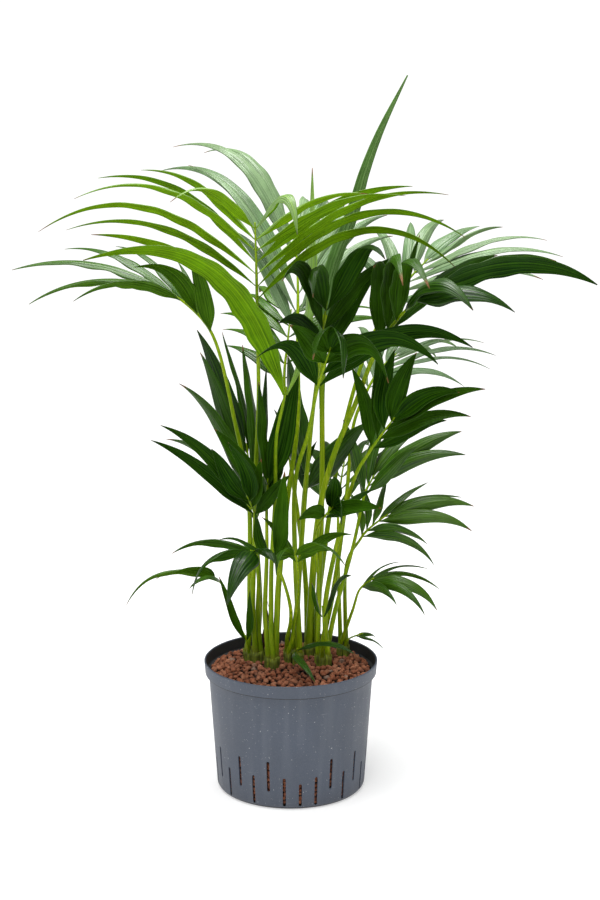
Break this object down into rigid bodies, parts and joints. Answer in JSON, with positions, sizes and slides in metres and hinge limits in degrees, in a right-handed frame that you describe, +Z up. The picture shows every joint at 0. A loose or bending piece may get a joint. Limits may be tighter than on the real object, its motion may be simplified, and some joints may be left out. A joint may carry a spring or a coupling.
{
  "type": "potted palm",
  "caption": "Bushy feather-leaved palm, several seedlings together in a slotted round growing pot filled with fired-clay granules.",
  "frame": {"origin": "centre of the pot's flat underside", "axes": "+Z up along the pot's axis and the plants, -Y towards the front that the picture shows, +X to its right"},
  "size_m": [0.8066, 0.6079, 1.0203],
  "materials": {
    "pot_plastic": "matt slate-grey moulded plastic with fine specks and light scuffs",
    "clay_granules": "rough red-brown fired-clay granules",
    "crown_sheath": "fibrous green-brown leaf sheaths",
    "stalk": "smooth yellow-green stalk skin, faintly ribbed",
    "leaf_bright": "fresh green leaf with lengthwise ribs and a soft gloss",
    "leaf_mid": "mid-green leaf with lengthwise ribs and a soft gloss",
    "leaf_dark": "deep green leaf with lengthwise ribs and a soft gloss",
    "leaf_pale": "grey-green leaf seen from its paler underside",
    "spear_leaf": "folded new leaf, fresh green with fine ribs",
    "young_leaf": "young leaf, mid-green with fine ribs",
    "dry_sheath": "dried red-brown sheath, matt and fibrous"
  },
  "bodies": {
    "root": {"crown_1": "crown_sheath", "crown_2": "crown_sheath", "crown_3": "crown_sheath", "crown_4": "crown_sheath", "crown_5": "crown_sheath", "crown_6": "crown_sheath", "dry_sheath": "dry_sheath", "frond_01": "leaf_bright", "frond_02": "leaf_mid", "frond_03": "leaf_dark", "frond_04": "leaf_dark", "frond_05": "leaf_dark", "frond_06": "leaf_pale", "frond_07": "leaf_pale", "frond_08": "leaf_pale", "frond_09": "leaf_dark", "frond_10": "leaf_mid", "frond_11": "leaf_dark", "frond_12": "leaf_dark", "frond_13": "leaf_dark", "frond_14": "leaf_bright", "frond_15": "leaf_mid", "frond_16": "leaf_dark", "frond_17": "leaf_mid", "frond_18": "leaf_mid", "frond_19": "leaf_mid", "frond_20": "leaf_dark", "frond_21": "leaf_mid", "frond_22": "leaf_mid", "frond_23": "leaf_dark", "granule_bed": "clay_granules", "pot": "pot_plastic", "spear_leaf": "spear_leaf", "stalk_01": "stalk", "stalk_02": "stalk", "stalk_03": "stalk", "stalk_04": "stalk", "stalk_05": "stalk", "stalk_06": "stalk", "stalk_07": "stalk", "stalk_08": "stalk", "stalk_09": "stalk", "stalk_10": "stalk", "stalk_11": "stalk", "stalk_12": "stalk", "stalk_13": "stalk", "stalk_14": "stalk", "stalk_15": "stalk", "stalk_16": "stalk", "stalk_17": "stalk", "stalk_18": "stalk", "stalk_19": "stalk", "stalk_20": "stalk", "stalk_21": "stalk", "stalk_22": "stalk", "stalk_23": "stalk", "young_leaf_1": "young_leaf", "young_leaf_2": "young_leaf", "young_leaf_3": "young_leaf", "young_leaf_4": "young_leaf"}
  },
  "joints": []
}
